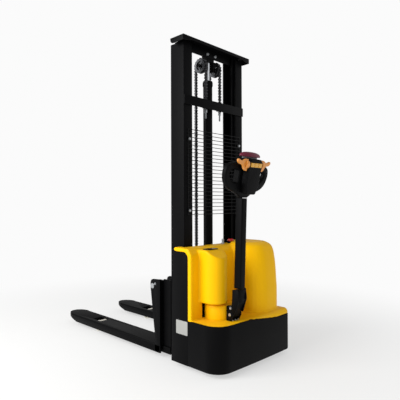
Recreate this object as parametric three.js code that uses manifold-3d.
// Walkie stacker: a two-stage mast on a steel chassis with straddling support legs, inverted-U forks over the
// legs, one central lift cylinder with two leaf chains, and a tiller that steers a vertical drive unit.
// Millimetres. +X is the truck's right, +Y the fork direction, +Z up.
import * as THREE from 'three';
import { mergeVertices } from 'three/addons/utils/BufferGeometryUtils.js';
import Module from 'manifold-3d';

const wasm = await Module();
wasm.setup();

// ---- Driving dimensions -------------------------------------------------------------------------------------
// Y is measured from the rear face of the outer mast while the parts are made; the whole truck is then moved so
// that its origin is on the floor under the middle of its length.
const gap = 0.4;
const rearmostY = -473;
const forkTipY = 1450;

const mast = { halfWidth: 298, depth: 123, flange: 76, web: 12, bottom: 62, top: 2066 };
const inner = { halfWidth: 278, rear: 18, front: 105, flange: 76, web: 10, bottom: 90, top: 2084 };
const cap = { halfWidth: 336, rear: -38, front: 85, top: 2090, thick: 5, wing: 36, rim: 20 };
const crossbar = { bottom: 1663, top: 1723, thick: 8 };
const guard = { halfWidth: 268, bottom: 954, pitch: 25, wires: 23, wire: 4.4 };

const chassis = { halfWidth: 356, front: 60, bottom: 31, top: 304, wall: 8 };
const skirtRear = { left: -346, right: -362, leftCorner: 110, rightCorner: 30 };
const sidePlate = { top: 727, rear: -92, frontTop: 40, radius: 42 };
const deck = { bottom: 288, top: 296 };
const cover = { wall: 4, base: 306, front: -10, bandY: -120, top: 751, lipFront: 36 };
const leftHump = { x: -210, y: -186, radius: 74, bottom: 413, top: 739 };
const rightHump = { left: 46, right: 322, rear: -322, leftCorner: 136, rightCorner: 80, top: 765, foot: 140 };

const leg = { inner: 190, outer: 304, bottom: 34, top: 76, end: 1130 };
const loadRoller = { y: 1020, radius: 40, width: 80, axle: 10 };
const fork = { inner: 170, outer: 330, heel: 206, bottom: 33, top: 88, plate: 6, taper: 1330, wedge: 1275 };
const gusset = { thick: 12, top: 521 };
const forkPin = { y: 277, z: 471, radius: 18 };

const cylinder = { y: 68, outer: 32, bore: 25, bottom: 70, top: 1877 };
const rod = { radius: 16, bottom: 92, top: 2006 };
const pulley = { x: 71, y: 66, z: 1968, pitchRadius: 45, flangeRadius: 49, width: 30, bore: 12 };
const chain = { width: 20, depth: 15, rearBottom: 1714, frontBottom: 470 };

const drive = { x: -153, y: -166, wheelRadius: 115, wheelWidth: 75, motorRadius: 52 };
const drum = { radius: 93, wall: 3, bottom: 309, top: 402, shelfHole: 97, well: 116 };
const caster = { x: 205, y: -190, trail: 42, radius: 62, width: 46 };

const pivot = { y: -289, z: 351, radius: 10 };
const tube = { half: 25, wall: 4, bottom: 505, top: 1058, lean: 2 };
const head = { y: -352, z: 1058, lean: 13, depth: 34 };

const steel = (color, roughness = 0.55, metalness = 0.25) =>
  new THREE.MeshStandardMaterial({ color, roughness, metalness });
const black = () => steel('#1d1d1f');
const yellow = () => steel('#fdc61e', 0.4, 0);
const plastic = (color) => steel(color, 0.6, 0);
const bright = () => steel('#b9bcc0', 0.3, 0.9);
const rubber = () => steel('#2b2b2b', 0.9, 0);

// ---- Shape helpers ------------------------------------------------------------------------------------------
const truck = new THREE.Group();
truck.position.set(0, -(forkTipY + rearmostY) / 2, 0);

function volume(geometry) {
  const p = geometry.getAttribute('position');
  const index = geometry.index;
  const [a, b, c] = [new THREE.Vector3(), new THREE.Vector3(), new THREE.Vector3()];
  let sum = 0;
  for (let i = 0; i < index.count; i += 3) {
    a.fromBufferAttribute(p, index.getX(i));
    b.fromBufferAttribute(p, index.getX(i + 1));
    c.fromBufferAttribute(p, index.getX(i + 2));
    sum += a.dot(b.cross(c));
  }
  return sum;
}

// A closed triangle mesh with shared corners and its faces pointing out.
function closed(geometry) {
  const bare = geometry.clone();
  bare.deleteAttribute('normal');
  bare.deleteAttribute('uv');
  const merged = mergeVertices(bare, 1e-3);
  if (volume(merged) < 0) {
    const order = merged.index.array;
    for (let i = 0; i < order.length; i += 3) {
      [order[i], order[i + 1]] = [order[i + 1], order[i]];
    }
  }
  return merged;
}

function solid(geometry) {
  const mesh = closed(geometry);
  return new wasm.Manifold(new wasm.Mesh({
    numProp: 3,
    vertProperties: new Float32Array(mesh.getAttribute('position').array),
    triVerts: new Uint32Array(mesh.index.array),
  }));
}

function fromSolid(shape) {
  const mesh = shape.getMesh();
  const geometry = new THREE.BufferGeometry();
  geometry.setAttribute('position', new THREE.BufferAttribute(mesh.vertProperties, 3));
  geometry.setIndex(new THREE.BufferAttribute(mesh.triVerts, 1));
  return geometry;
}

const join = (first, ...others) => fromSolid(others.reduce((sum, g) => sum.add(solid(g)), solid(first)));
const cut = (first, ...tools) => fromSolid(tools.reduce((rest, g) => rest.subtract(solid(g)), solid(first)));

function add(name, geometry, material, parent = truck) {
  const mesh = new THREE.Mesh(geometry, material);
  mesh.name = name;
  parent.add(mesh);
  return mesh;
}

const block = (x0, x1, y0, y1, z0, z1) =>
  new THREE.BoxGeometry(x1 - x0, y1 - y0, z1 - z0).translate((x0 + x1) / 2, (y0 + y1) / 2, (z0 + z1) / 2);

const outline = (points) => new THREE.Shape(points.map(([u, v]) => new THREE.Vector2(u, v)));

const extrude = (shape, depth, curveSegments = 6) =>
  new THREE.ExtrudeGeometry(shape, { depth, bevelEnabled: false, curveSegments });

// Plan outline (x, y) raised from z0 to z1.
const raise = (shape, z0, z1, segments) => extrude(shape, z1 - z0, segments).translate(0, 0, z0);

// Side profile (y, z) run from x0 to x1.
function acrossX(shape, x0, x1, segments) {
  const turn = new THREE.Matrix4().makeBasis(
    new THREE.Vector3(0, 1, 0), new THREE.Vector3(0, 0, 1), new THREE.Vector3(1, 0, 0));
  return extrude(shape, x1 - x0, segments).applyMatrix4(turn).translate(x0, 0, 0);
}

// Rear profile (x, z) run from y0 to y1.
const alongY = (shape, y0, y1, segments) =>
  extrude(shape, y1 - y0, segments).rotateX(Math.PI / 2).translate(0, y1, 0);

const upright = (x, y, r, z0, z1, sides = 24) =>
  new THREE.CylinderGeometry(r, r, z1 - z0, sides).rotateX(Math.PI / 2).translate(x, y, (z0 + z1) / 2);
const crosswise = (y, z, r, x0, x1, sides = 24) =>
  new THREE.CylinderGeometry(r, r, x1 - x0, sides).rotateZ(Math.PI / 2).translate((x0 + x1) / 2, y, z);
const lengthwise = (x, z, r, y0, y1, sides = 24) =>
  new THREE.CylinderGeometry(r, r, y1 - y0, sides).translate(x, (y0 + y1) / 2, z);

// A ring about a crosswise axis, from a closed (radius, x) profile.
const wheelRing = (profile, x, y, z, sides = 32) =>
  new THREE.LatheGeometry(profile.concat([profile[0]]).map(([r, u]) => new THREE.Vector2(r, u)), sides)
    .rotateZ(-Math.PI / 2).translate(x, y, z);

const mirrored = (geometry) => closed(geometry.clone().scale(-1, 1, 1));

function pair(name, geometry, material, parent = truck) {
  add(`${name}_left`, geometry, material(), parent);
  add(`${name}_right`, mirrored(geometry), material(), parent);
}

// ---- Outer mast: two channels that open inwards, a bottom tie and the crossbar that anchors the chains ------
function channel(half, rear, front, flange, web, bottom, top) {
  return raise(outline([
    [-half, rear], [-half + flange, rear], [-half + flange, rear + web], [-half + web, rear + web],
    [-half + web, front - web], [-half + flange, front - web], [-half + flange, front], [-half, front],
  ]), bottom, top);
}

pair('outer_mast_channel', channel(mast.halfWidth, 0, mast.depth, mast.flange, mast.web, mast.bottom,
  mast.top),
  black);

const tieHalf = mast.halfWidth - mast.web - gap;
add('outer_mast_bottom_tie', join(
  block(-tieHalf, tieHalf, mast.web + gap, mast.depth - mast.web - gap, 34, 58),
  block(-mast.halfWidth, mast.halfWidth, 0, mast.depth, 34, mast.bottom - gap),
), black());

const lugX = [pulley.x - 17, pulley.x + 17];
const anchorY = pulley.y - pulley.pitchRadius;
const anchorHoles = [-1, 1].map((side) => upright(side * pulley.x, anchorY, 6.6, 1600, 1800, 12));
add('chain_anchor_crossbar', cut(join(
  block(-mast.halfWidth, mast.halfWidth, -crossbar.thick - gap, -gap, crossbar.bottom, crossbar.top),
  block(lugX[0], lugX[1], -gap - 1, anchorY + 16, crossbar.bottom + 8, crossbar.bottom + 22),
  block(-lugX[1], -lugX[0], -gap - 1, anchorY + 16, crossbar.bottom + 8, crossbar.bottom + 22),
), ...anchorHoles), black());

// Threaded anchor: rod through the crossbar lug, two nuts below and a fork for the chain above.
const anchorRod = join(
  upright(-pulley.x, anchorY, 6, crossbar.bottom - 62, chain.rearBottom - 22, 12),
  upright(-pulley.x, anchorY, 10.5, crossbar.bottom - 6, crossbar.bottom + 7.5, 6),
  upright(-pulley.x, anchorY, 10.5, crossbar.bottom - 22, crossbar.bottom - 10, 6),
  block(-pulley.x - 10, -pulley.x + 10, anchorY - 7, anchorY + 7, chain.rearBottom - 24,
    chain.rearBottom - gap),
);
pair('chain_anchor', anchorRod, bright);

// Guard: level wires welded to two upright wires, hung on tabs bolted to the rear flanges.
const wireHalf = guard.wire / 2;
const guardY = -3 - wireHalf;
const guardTop = guard.bottom + guard.pitch * (guard.wires - 1);
const uprightX = guard.halfWidth - 8;
const guardWires = [-uprightX, uprightX].map((x) =>
  block(x - 3, x + 3, guardY - 3, guardY + 1.5, guard.bottom - 4, guardTop + 4));
for (let i = 0; i < guard.wires; i += 1) {
  const z = guard.bottom + i * guard.pitch;
  guardWires.push(block(-guard.halfWidth, guard.halfWidth, guardY - wireHalf, guardY + wireHalf, z - wireHalf,
    z + wireHalf));
}
for (const side of [-1, 1]) {
  for (const z of [980, 1443]) {
    guardWires.push(block(side * 250 - 14, side * 250 + 14, guardY - wireHalf - 1, -gap, z - 14, z + 14));
  }
}
add('mast_guard', join(...guardWires), black());

// ---- Inner mast ---------------------------------------------------------------------------------------------
pair('inner_mast_channel',
  channel(inner.halfWidth, inner.rear, inner.front, inner.flange, inner.web, inner.bottom,
    inner.top - gap), black);

const innerTie = inner.halfWidth - inner.web - gap;
const tieEnd = inner.halfWidth - inner.flange - gap;
add('inner_mast_bottom_tie', block(-tieEnd, tieEnd, inner.rear + 1, inner.rear + 9, inner.bottom,
  inner.bottom + 50),
  black());

// Top beam between the inner channels, with the hanging bracket that holds the rod end and the pulley pins.
const pinRadius = pulley.bore - 0.35;
add('inner_mast_top_beam', join(
  block(-innerTie, innerTie, 32, 40, 2026, cap.top - cap.thick - gap),
  block(-innerTie, innerTie, 32, 92, 2062, cap.top - cap.thick - gap),
  block(-34, 34, 39, 93, 2006 + gap, 2066),
  block(-34, -26, 39, 93, 1944, 2010),
  block(26, 34, 39, 93, 1944, 2010),
  crosswise(pulley.y, pulley.z, pinRadius, -96, -30, 20),
  crosswise(pulley.y, pulley.z, pinRadius, 30, 96, 20),
), black());

const wingProfile = new THREE.Shape();
wingProfile.moveTo(cap.rear, cap.top);
wingProfile.lineTo(cap.rear, cap.top - cap.wing);
wingProfile.lineTo(cap.front - 34, cap.top - cap.wing);
wingProfile.quadraticCurveTo(cap.front, cap.top - cap.wing, cap.front, cap.top - cap.rim - 6);
wingProfile.lineTo(cap.front, cap.top);
const rimProfile = outline([
  [-cap.halfWidth, cap.top], [-cap.halfWidth, cap.top - cap.wing], [-cap.halfWidth + 22, cap.top - cap.wing],
  [-cap.halfWidth + 84, cap.top - cap.rim], [cap.halfWidth - 84, cap.top - cap.rim],
  [cap.halfWidth - 22, cap.top - cap.wing], [cap.halfWidth, cap.top - cap.wing], [cap.halfWidth, cap.top],
]);
add('inner_mast_cap', join(
  block(-cap.halfWidth, cap.halfWidth, cap.rear, cap.front, cap.top - cap.thick, cap.top),
  acrossX(wingProfile, -cap.halfWidth, -cap.halfWidth + cap.thick, 5),
  acrossX(wingProfile, cap.halfWidth - cap.thick, cap.halfWidth, 5),
  alongY(rimProfile, cap.rear, cap.rear + cap.thick),
), black());

// ---- Lift cylinder, rod, pulleys and chains -----------------------------------------------------------------
add('lift_cylinder_barrel', cut(
  join(
    upright(0, cylinder.y, cylinder.outer, cylinder.bottom, cylinder.top),
    upright(0, cylinder.y, cylinder.outer + 4, cylinder.top - 34, cylinder.top - 4, 12),
  ),
  upright(0, cylinder.y, cylinder.bore, cylinder.bottom + 14, cylinder.top - 30),
  upright(0, cylinder.y, rod.radius + 0.6, cylinder.top - 40, cylinder.top + 5),
), black());
add('piston_rod', join(
  upright(0, cylinder.y, rod.radius, rod.bottom, rod.top),
  upright(0, cylinder.y, cylinder.bore - 0.6, rod.bottom, rod.bottom + 40),
), bright());

const halfPulley = pulley.width / 2;
const sheave = wheelRing([
  [pulley.bore, -halfPulley], [pulley.flangeRadius, -halfPulley], [pulley.flangeRadius, -halfPulley + 4],
  [pulley.pitchRadius - 8, -halfPulley + 4.6], [pulley.pitchRadius - 8, halfPulley - 4.6],
  [pulley.flangeRadius, halfPulley - 4], [pulley.flangeRadius, halfPulley], [pulley.bore, halfPulley],
], -pulley.x, pulley.y, pulley.z, 24);
pair('chain_pulley', sheave, bright);

const chainRun = (y, z0, z1) =>
  block(-pulley.x - chain.width / 2, -pulley.x + chain.width / 2, y - chain.depth / 2,
    y + chain.depth / 2, z0, z1);
pair('chain_rear', chainRun(pulley.y - pulley.pitchRadius - 1, chain.rearBottom, pulley.z - 22), bright);
pair('chain_front', chainRun(pulley.y + pulley.pitchRadius + 1, chain.frontBottom, pulley.z - 22), bright);

// ---- Carriage and forks -------------------------------------------------------------------------------------
const armInner = 182;
const armOuter = 194;
const forkMid = (fork.inner + fork.outer) / 2;
add('carriage_frame', join(
  block(-armOuter, -armInner, 36, 176, 100, 520),
  block(armInner, armOuter, 36, 176, 100, 520),
  block(-296, 296, 146, 158, 100, 180),
  block(-296, 296, 146, 158, 430, 505),
  block(-298, -288, 128, 199, 82, 520),
  block(288, 298, 128, 199, 82, 520),
  ...[-1, 1].map((s) => cut(
    block(s * forkMid - 7, s * forkMid + 7, 150, forkPin.y + 24, 438, 500),
    crosswise(forkPin.y, forkPin.z, forkPin.radius + gap, -400, 400, 20),
  )),
  block(-90, -52, 102, 158, chain.frontBottom - 40, chain.frontBottom - gap - 6),
  block(52, 90, 102, 158, chain.frontBottom - 40, chain.frontBottom - gap - 6),
), black());

// Inverted-U fork with a rounded nose, a wedge under the nose, a slot over the load roller and two heel gussets.
function bladeOutline(inset) {
  const half = (fork.outer - fork.inner) / 2 - inset;
  const shape = new THREE.Shape();
  shape.moveTo(-forkMid - half, fork.heel);
  shape.lineTo(-forkMid + half, fork.heel);
  shape.lineTo(-forkMid + half, fork.taper);
  shape.absellipse(-forkMid, fork.taper, half, forkTipY - fork.taper - inset, 0, Math.PI, false, 0);
  return shape;
}
const wedge = acrossX(outline([
  [fork.wedge, fork.bottom - 1], [forkTipY + 10, fork.top - 6], [forkTipY + 10, fork.bottom - 1],
]), -400, 400);
const bevel = (x, side) => alongY(outline([
  [x, fork.top + 1], [x, fork.top - 9], [x + side * 9, fork.top + 1],
]), fork.heel - 1, fork.taper + 5);
const blade = cut(
  raise(bladeOutline(0), fork.bottom, fork.top, 8),
  block(-fork.outer + fork.plate, -fork.inner - fork.plate, fork.heel - 1, 1180, fork.bottom - 1,
    fork.top - fork.plate),
  wedge,
  bevel(-fork.outer - 0.5, 1),
  bevel(-fork.inner + 0.5, -1),
  block(-292, -208, loadRoller.y - 46, loadRoller.y + 62, fork.bottom, fork.top + 1),
);
const gussetProfile = new THREE.Shape();
gussetProfile.moveTo(fork.heel - 6, fork.bottom);
gussetProfile.lineTo(fork.heel + 48, fork.bottom);
gussetProfile.lineTo(fork.heel + 48, fork.top + 60);
gussetProfile.lineTo(forkPin.y + 22, forkPin.z);
gussetProfile.absarc(forkPin.y - 12, forkPin.z + 8, 34, -0.1, 1.75, false);
gussetProfile.quadraticCurveTo(forkPin.y - 50, forkPin.z + 36, fork.heel - 6, gusset.top);
const gussetAt = (x) => acrossX(gussetProfile, x, x + gusset.thick, 5);
const pinHole = crosswise(forkPin.y, forkPin.z, forkPin.radius + gap, -400, 0, 20);
const heel = join(
  gussetAt(-fork.outer),
  gussetAt(-fork.inner - gusset.thick),
  block(-fork.outer + 1, -fork.inner - 1, fork.heel - 6, fork.heel + 8, fork.bottom + 54, 430),
  block(-fork.outer + 1, -forkMid - 12, fork.heel - 6, fork.heel + 8, 429, gusset.top - 9),
  block(-forkMid + 12, -fork.inner - 1, fork.heel - 6, fork.heel + 8, 429, gusset.top - 9),
  block(-fork.outer + 1, -fork.inner - 1, fork.heel - 6, fork.heel + 40, fork.top - 8, fork.top),
);
const heelClear = block(-fork.outer + gusset.thick + gap, -fork.inner - gusset.thick - gap, 190,
  fork.heel + 60,
  fork.bottom - 1, fork.top - 8);
pair('fork', cut(join(blade, heel), pinHole, heelClear), black);
pair('fork_pin', crosswise(forkPin.y, forkPin.z, forkPin.radius, -fork.outer - 4, -fork.inner + 4, 20),
  bright);

// ---- Chassis ------------------------------------------------------------------------------------------------
// The skirt's plan: straight sides, a wide left rear corner, a tight right one and a bowed back between them.
function skirtOutline(inset) {
  const x = chassis.halfWidth - inset;
  const left = skirtRear.left + inset;
  const right = skirtRear.right + inset;
  const wide = skirtRear.leftCorner - inset;
  const tight = skirtRear.rightCorner - inset;
  const shape = new THREE.Shape();
  shape.moveTo(-x, chassis.front);
  shape.lineTo(-x, left + wide);
  shape.absarc(-x + wide, left + wide, wide, Math.PI, Math.PI * 1.5, false);
  shape.quadraticCurveTo(40, right, x - tight, right);
  shape.absarc(x - tight, right + tight, tight, Math.PI * 1.5, Math.PI * 2, false);
  shape.lineTo(x, chassis.front);
  return shape;
}
const side = new THREE.Shape();
side.moveTo(chassis.front, chassis.bottom);
side.lineTo(sidePlate.frontTop, sidePlate.top);
side.lineTo(sidePlate.rear + sidePlate.radius, sidePlate.top);
side.absarc(sidePlate.rear + sidePlate.radius, sidePlate.top - sidePlate.radius, sidePlate.radius, Math.PI / 2,
  Math.PI, false);
side.lineTo(sidePlate.rear, chassis.bottom);
const inX = chassis.halfWidth - chassis.wall;
const skirt = cut(
  raise(skirtOutline(0), chassis.bottom, chassis.top, 6),
  raise(skirtOutline(chassis.wall), chassis.bottom - 1, chassis.top + 1, 6),
  block(-inX, inX, 0, chassis.front + 1, chassis.bottom - 1, chassis.top + 1),
);
const deckPlate = cut(
  raise(skirtOutline(chassis.wall - 2), deck.bottom, deck.top, 6),
  block(-400, 400, -16, chassis.front + 1, deck.bottom - 1, deck.top + 1),
  upright(drive.x, drive.y, 102, deck.bottom - 1, deck.top + 1, 32),
);
add('chassis_frame', join(
  skirt,
  deckPlate,
  acrossX(side, -chassis.halfWidth, -inX, 5),
  acrossX(side, inX, chassis.halfWidth, 5),
  block(-inX - 1, -mast.halfWidth - gap, 30, 38, chassis.bottom, sidePlate.top),
  block(mast.halfWidth + gap, inX + 1, 30, 38, chassis.bottom, sidePlate.top),
  block(-inX - 1, inX + 1, -16, -8, 60, deck.top),
), black());

const rollerSlot = block(-291, -203, loadRoller.y - 46, leg.end + 5, 0, 120);
const axleHole = crosswise(loadRoller.y, loadRoller.radius, loadRoller.axle + gap, -400, 0, 16);
pair('support_leg', cut(
  block(-leg.outer, -leg.inner, mast.depth + 4, leg.end, leg.bottom, leg.top), rollerSlot, axleHole,
), black);
pair('load_roller_axle', crosswise(loadRoller.y, loadRoller.radius, loadRoller.axle, -leg.outer,
  -leg.inner, 16),
  bright);
const rollerHalf = loadRoller.width / 2;
pair('load_roller', wheelRing([
  [loadRoller.axle + gap, -rollerHalf], [loadRoller.radius - 2, -rollerHalf], [loadRoller.radius,
    -rollerHalf + 3],
  [loadRoller.radius, rollerHalf - 3], [loadRoller.radius - 2, rollerHalf], [loadRoller.axle + gap,
    rollerHalf],
], -(leg.inner + leg.outer) / 2, loadRoller.y, loadRoller.radius), () => plastic('#c9c9c4'));

add('data_plate', block(-chassis.halfWidth - gap - 1.2, -chassis.halfWidth - gap, -89, 12, 216, 301),
  bright());

// ---- Cover --------------------------------------------------------------------------------------------------
// Block across the back of the mast, a round hump over the drive motor and a tall leaning hump over the battery.
function coverFront(inset) {
  const profile = new THREE.Shape();
  const top = cover.top - inset;
  const rear = cover.bandY + inset;
  profile.moveTo(cover.front - inset, cover.base - 2);
  profile.lineTo(cover.front - inset, top);
  profile.lineTo(rear + 44, top - 6);
  profile.quadraticCurveTo(rear, top - 10, rear, top - 60);
  profile.lineTo(rear, cover.base - 2);
  return acrossX(profile, -chassis.halfWidth + inset, chassis.halfWidth - inset, 4);
}
function leftHumpSolid(inset) {
  const r = leftHump.radius - inset;
  const plan = new THREE.Shape();
  plan.moveTo(leftHump.x - r, cover.bandY + 20);
  plan.lineTo(leftHump.x - r, leftHump.y);
  plan.absarc(leftHump.x, leftHump.y, r, Math.PI, Math.PI * 2, false);
  plan.lineTo(leftHump.x + r, cover.bandY + 20);
  const bevelTool = acrossX(outline([
    [leftHump.y + 36 + inset * 0.5, leftHump.top + 20], [leftHump.y - 120, leftHump.top - 96],
    [leftHump.y - 120, leftHump.top + 20],
  ]), -400, 0);
  return cut(raise(plan, leftHump.bottom + inset, leftHump.top - inset, 8), bevelTool);
}
function rightHumpPlan(inset) {
  const left = rightHump.left + inset;
  const right = rightHump.right - inset;
  const rear = rightHump.rear + inset;
  const wide = rightHump.leftCorner - inset;
  const tight = rightHump.rightCorner - inset;
  const plan = new THREE.Shape();
  plan.moveTo(left, cover.bandY + 30);
  plan.lineTo(left, rear + wide);
  plan.absarc(left + wide, rear + wide, wide, Math.PI, Math.PI * 1.5, false);
  plan.lineTo(right - tight, rear);
  plan.absarc(right - tight, rear + tight, tight, Math.PI * 1.5, Math.PI * 2, false);
  plan.lineTo(right, cover.bandY + 30);
  return plan;
}
// How far the hump's back stands forward of its foot at each height: nearly upright, then round at the top.
const rightHumpLean = [[-100, 450], [0, 450], [12, 624], [26, 700], [44, 744], [90, 785], [-100, 785]];
function rightHumpSolid(inset) {
  const back = rightHump.rear + inset;
  const leanTool = acrossX(outline(rightHumpLean.map(([lean, z]) => [back + lean, z])), 0, 400);
  return cut(raise(rightHumpPlan(inset), cover.base - 2, rightHump.top - inset, 5), leanTool);
}
const humpBase = block(rightHump.foot, rightHump.right - 20, cover.bandY - 20, cover.front, cover.top - 40,
  rightHump.top);
const flange = cut(
  raise(skirtOutline(0), cover.base - 2 + gap, cover.base + 4, 6),
  block(-400, 400, cover.bandY + 8, chassis.front + 5, 200, 400),
);
// A lip on each side runs forward over the tall side plate, beside the mast.
const lip = block(mast.halfWidth + 3, chassis.halfWidth, cover.front - 30, cover.lipFront, sidePlate.top + gap,
  cover.top);
const lips = [lip, mirrored(lip)];
const stop = { x: 96, y: -56 };
const outerCover = join(coverFront(0), leftHumpSolid(0), rightHumpSolid(0), flange, humpBase, ...lips);
const innerHump = block(rightHump.foot + 4, rightHump.right - 24, cover.bandY - 24, cover.front - 4,
  cover.top - 50, rightHump.top - 4);
const w = cover.wall;
const openBelow = block(-inX + 2, inX - 2, cover.bandY + w, cover.front - w, cover.base - 10, cover.base + 20);
const rightOpen = raise(rightHumpPlan(w), cover.base - 10, cover.base + 20, 5);
// Room for the two tall side plates, a little above them and behind them.
const sideRoom = [
  acrossX(side, -chassis.halfWidth - 1, -inX + gap, 5),
  acrossX(side, inX - gap, chassis.halfWidth + 1, 5),
];
const aboveSides = sideRoom.map((g) => g.clone().translate(0, 0, gap * 2));
const behindSides = sideRoom.map((g) => g.clone().translate(0, -gap, 0));
const shelfHole = upright(drive.x, drive.y, drum.shelfHole, cover.base - 10, cover.base + 9, 32);
const drumWell = upright(drive.x, drive.y, drum.well, cover.base + 8, leftHump.bottom - 2, 32);
add('body_cover', cut(
  outerCover,
  coverFront(w), leftHumpSolid(w), rightHumpSolid(w), innerHump, openBelow, rightOpen,
  block(leftHump.x - leftHump.radius + w, leftHump.x + leftHump.radius - w, cover.bandY - 10, cover.bandY + 25,
    leftHump.bottom + w, leftHump.top - 30),
  block(rightHump.left + w, rightHump.right - w, cover.bandY - 12, cover.bandY + 35, cover.base,
    cover.top - 20),
  ...aboveSides, ...behindSides, shelfHole, drumWell,
  upright(stop.x, stop.y, 10, cover.top - 20, cover.top + 5, 16),
), yellow());

add('battery_gauge', block(-258, -168, -176, -124, leftHump.top + gap, leftHump.top + 5), plastic('#2a2b2e'));
add('emergency_stop_collar', cut(
  upright(stop.x, stop.y, 25, cover.top + gap, cover.top + 7, 24),
  upright(stop.x, stop.y, 9, cover.top - 1, cover.top + 8, 16),
), plastic('#202022'));
const mushroom = [[0, 14], [19, 14], [22.5, 18], [21, 25], [14, 29], [0, 30.5]];
add('emergency_stop_button', join(
  upright(stop.x, stop.y, 8.4, cover.top + 1, cover.top + 16, 16),
  new THREE.LatheGeometry(mushroom.map(([r, z]) => new THREE.Vector2(r, z)), 24)
    .rotateX(Math.PI / 2).translate(stop.x, stop.y, cover.top),
), plastic('#a8201e'));
add('key_switch_barrel', cut(
  upright(20, -50, 11, cover.top + gap, cover.top + 8, 16),
  upright(20, -50, 4.5, cover.top + 2, cover.top + 9, 12),
), bright());
add('ignition_key', join(
  upright(20, -50, 4, cover.top + 3, cover.top + 14, 12),
  block(18.8, 21.2, -60, -40, cover.top + 12, cover.top + 34),
), bright());

// ---- Power pack ---------------------------------------------------------------------------------------------
add('battery_pack', block(96, 290, -250, -30, deck.top + 4, 640), plastic('#3a3d42'));
add('motor_controller', block(-256, -164, -226, -120, 424, 640), steel('#6d7074', 0.5, 0.6));
add('hydraulic_power_unit', join(
  block(-40, 56, -100, -20, 330, 520),
  upright(8, -60, 36, 519, 690, 20),
  block(-14, 30, -84, -36, deck.top + gap, 331),
), steel('#55585c'));

// ---- Drive unit, steering drum and tiller lug ---------------------------------------------------------------
const { x: dx, y: dy } = drive;
const wheelHalf = drive.wheelWidth / 2;
add('drive_wheel', wheelRing([
  [14, -wheelHalf], [drive.wheelRadius - 6, -wheelHalf], [drive.wheelRadius, -wheelHalf + 8],
  [drive.wheelRadius, wheelHalf - 8], [drive.wheelRadius - 6, wheelHalf], [14, wheelHalf],
], dx, dy, drive.wheelRadius, 40), rubber());
add('drive_gearbox', join(
  block(dx + wheelHalf + 3, dx + wheelHalf + 42, dy - 60, dy + 60, 62, 266),
  crosswise(dy, drive.wheelRadius, 62, dx + wheelHalf + 3, dx + wheelHalf + 42, 24),
  crosswise(dy, drive.wheelRadius, 13, dx - wheelHalf - 4, dx + wheelHalf + 10, 16),
  upright(dx, dy, 88, 258, 284, 32),
  upright(dx, dy, 70, 283, 304, 32),
), steel('#4a4c50'));
add('drive_motor', upright(dx, dy, drive.motorRadius, 304 + gap, drum.top - drum.wall - gap, 24),
  steel('#303236'));

const notch = block(dx - 30, dx + 30, dy - drum.radius - 5, dy - 55, drum.bottom - 1, 394);
add('steering_drum', cut(
  upright(dx, dy, drum.radius, drum.bottom, drum.top, 40),
  upright(dx, dy, drum.radius - drum.wall, drum.bottom - 1, drum.top - drum.wall, 40),
  notch,
), yellow());

// Lug: an arm off the turntable that ends in two fixed cheeks round the pivot.
const cheekShape = new THREE.Shape();
cheekShape.moveTo(-262, 311);
cheekShape.lineTo(-262, pivot.z);
cheekShape.absarc(pivot.y, pivot.z, 27, 0, Math.PI * 1.22, false);
cheekShape.lineTo(-298, 311);
add('tiller_lug', cut(
  join(
    block(dx - 24, dx + 24, -266, dy - 54, 312, 384),
    block(dx - 40, dx + 40, -266, -261.5, 311, 374),
    acrossX(cheekShape, dx - 40, dx - 33.5, 5),
    acrossX(cheekShape, dx + 33.5, dx + 40, 5),
    block(dx - 40, dx + 40, -299, -262, 311, 317),
  ),
  crosswise(pivot.y, pivot.z, pivot.radius + gap, dx - 60, dx + 60, 16),
), black());

// ---- Tiller -------------------------------------------------------------------------------------------------
const tiller = new THREE.Group();
truck.add(tiller);
const bracketShape = new THREE.Shape();
bracketShape.moveTo(-262, 402);
bracketShape.lineTo(-304, 411);
bracketShape.lineTo(-309, 504);
bracketShape.lineTo(-350, 512);
bracketShape.lineTo(-358, 450);
bracketShape.lineTo(-330, 366);
bracketShape.lineTo(-317.5, 366);
bracketShape.absarc(pivot.y, pivot.z, 28.5, Math.PI * 0.82, Math.PI * 0.25, true);
const coreShape = new THREE.Shape();
coreShape.moveTo(-313, pivot.z);
coreShape.absarc(pivot.y, pivot.z, 22, Math.PI, Math.PI * 2, false);
coreShape.lineTo(-274, 400);
coreShape.lineTo(-306, 411);
coreShape.lineTo(-309, 503);
coreShape.lineTo(-352, 508);
coreShape.lineTo(-352, 440);
add('tiller_bracket', cut(
  join(
    acrossX(bracketShape, dx - 40, dx - 33.5, 5),
    acrossX(bracketShape, dx + 33.5, dx + 40, 5),
    acrossX(coreShape, dx - 33, dx + 33, 5),
    block(dx - 34, dx + 34, -346, -318, 420, 500),
  ),
  crosswise(pivot.y, pivot.z, pivot.radius + gap, dx - 60, dx + 60, 16),
), black(), tiller);
add('tiller_pivot_pin', crosswise(pivot.y, pivot.z, pivot.radius, dx - 44, dx + 44, 16), bright(), tiller);

const arm = new THREE.Group();
arm.position.set(dx, -332, tube.bottom + 8);
arm.rotation.x = THREE.MathUtils.degToRad(tube.lean);
tiller.add(arm);
const tubeLength = tube.top - tube.bottom - 8;
add('tiller_tube', cut(
  block(-tube.half, tube.half, -tube.half, tube.half, 0, tubeLength),
  block(-tube.half + tube.wall, tube.half - tube.wall, -tube.half + tube.wall, tube.half - tube.wall, 6,
    tubeLength + 1),
), black(), arm);

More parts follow.
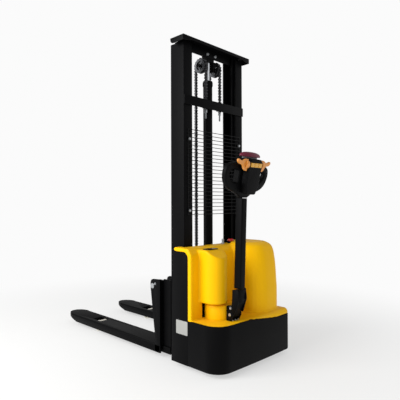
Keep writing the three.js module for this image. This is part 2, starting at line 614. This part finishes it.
// Head: a flat loop with two hand holes between a rear and a front housing.
const grip = new THREE.Group();
grip.position.set(dx, head.y, head.z + 4);
grip.rotation.x = THREE.MathUtils.degToRad(head.lean);
tiller.add(grip);
const loop = new THREE.Shape();
loop.moveTo(-34, 0);
loop.lineTo(34, 0);
loop.quadraticCurveTo(70, 28, 120, 40);
loop.quadraticCurveTo(176, 56, 195, 104);
loop.quadraticCurveTo(211, 150, 195, 180);
loop.quadraticCurveTo(180, 204, 110, 212);
loop.lineTo(56, 236);
loop.lineTo(-56, 236);
loop.lineTo(-110, 212);
loop.quadraticCurveTo(-180, 204, -195, 180);
loop.quadraticCurveTo(-211, 150, -195, 104);
loop.quadraticCurveTo(-176, 56, -120, 40);
loop.quadraticCurveTo(-70, 28, -34, 0);
for (const s of [-1, 1]) {
  const hole = new THREE.Path();
  hole.moveTo(s * 74, 92);
  hole.lineTo(s * 74, 168);
  hole.lineTo(s * 140, 172);
  hole.quadraticCurveTo(s * 172, 168, s * 170, 140);
  hole.quadraticCurveTo(s * 158, 96, s * 108, 82);
  loop.holes.push(hole);
}
const halfLoop = head.depth / 2;
add('handle_loop', alongY(loop, -halfLoop, halfLoop, 5), plastic('#1b1b1d'), grip);
const shell = (grow) => outline([
  [-40 - grow, 30], [40 + grow, 30], [60 + grow, 90], [60 + grow, 226], [44 + grow, 240], [-44 - grow, 240],
  [-60 - grow, 226], [-60 - grow, 90],
]);
const shaft = { y: -46, z: 206, radius: 7 };
const buttons = { width: 32, pitch: 35, low: 193, high: 218, face: -68, back: -59, pocket: -55.8 };
const buttonBlock = (place, grow, y0, y1) => block(
  place * buttons.pitch - buttons.width / 2 - grow, place * buttons.pitch + buttons.width / 2 + grow, y0, y1,
  buttons.low - grow, buttons.high + grow);
add('head_housing_rear', cut(
  alongY(shell(0), -64, -halfLoop - gap),
  crosswise(shaft.y, shaft.z, shaft.radius + gap, -100, 100, 16),
  ...[-1, 0, 1].map((place) => buttonBlock(place, gap, -70, buttons.pocket)),
), plastic('#232326'), grip);
add('head_housing_front', alongY(shell(-6), halfLoop + gap, 52), plastic('#232326'), grip);

// Butterfly: a tall hub plate at each side of the head with one lobe that points outwards.
const wing = new THREE.Shape();
wing.moveTo(62, 30);
wing.quadraticCurveTo(90, 34, 104, 22);
wing.quadraticCurveTo(120, 14, 142, 27);
wing.quadraticCurveTo(160, 30, 156, 14);
wing.quadraticCurveTo(150, -2, 116, -4);
wing.quadraticCurveTo(104, -12, 98, -26);
wing.quadraticCurveTo(88, -42, 62, -38);
const wingSolid = alongY(wing, -7, 7, 4).translate(0, shaft.y, shaft.z);
add('throttle_butterfly', join(
  crosswise(shaft.y, shaft.z, shaft.radius, -66, 66, 16),
  crosswise(shaft.y, shaft.z, 24, 61, 86, 16),
  crosswise(shaft.y, shaft.z, 24, -86, -61, 16),
  wingSolid, mirrored(wingSolid),
), plastic('#dfa050'), grip);

const bellyProfile = [[0, 0], [44, 0], [46, 6], [40, 18], [24, 26], [0, 28]];
const bellyBottom = 248.5;
add('reverse_button', new THREE.LatheGeometry(bellyProfile.map(([r, z]) => new THREE.Vector2(r, z)), 24)
  .rotateX(Math.PI / 2).scale(2, 0.72, 1).translate(0, -6, bellyBottom), plastic('#6e2238'), grip);
['lift_button', 'horn_button', 'lower_button'].forEach((name, i) => {
  add(name, buttonBlock(i - 1, 0, buttons.face, buttons.back), plastic('#d4a02c'), grip);
});

// ---- Caster -------------------------------------------------------------------------------------------------
add('caster_fork', join(
  upright(caster.x, caster.y, 40, deck.bottom - 22, deck.bottom - 1, 24),
  block(caster.x - 37, caster.x + 37, caster.y - 30, caster.y + 30, 252, deck.bottom - 20),
  block(caster.x - 37, caster.x - 30, caster.y - 66, caster.y + 26, 150, 258),
  block(caster.x + 30, caster.x + 37, caster.y - 66, caster.y + 26, 150, 258),
  block(caster.x - 37, caster.x - 30, caster.y - 66, caster.y - 20, 48, 152),
  block(caster.x + 30, caster.x + 37, caster.y - 66, caster.y - 20, 48, 152),
  crosswise(caster.y - caster.trail, caster.radius, 8, caster.x - 36, caster.x + 36, 12),
), steel('#8c8f93', 0.4, 0.8));
const casterHalf = caster.width / 2;
add('caster_wheel', wheelRing([
  [8.4, -casterHalf], [caster.radius - 4, -casterHalf], [caster.radius, -casterHalf + 5],
  [caster.radius, casterHalf - 5], [caster.radius - 4, casterHalf], [8.4, casterHalf],
], caster.x, caster.y - caster.trail, caster.radius, 32), rubber());

export default truck;
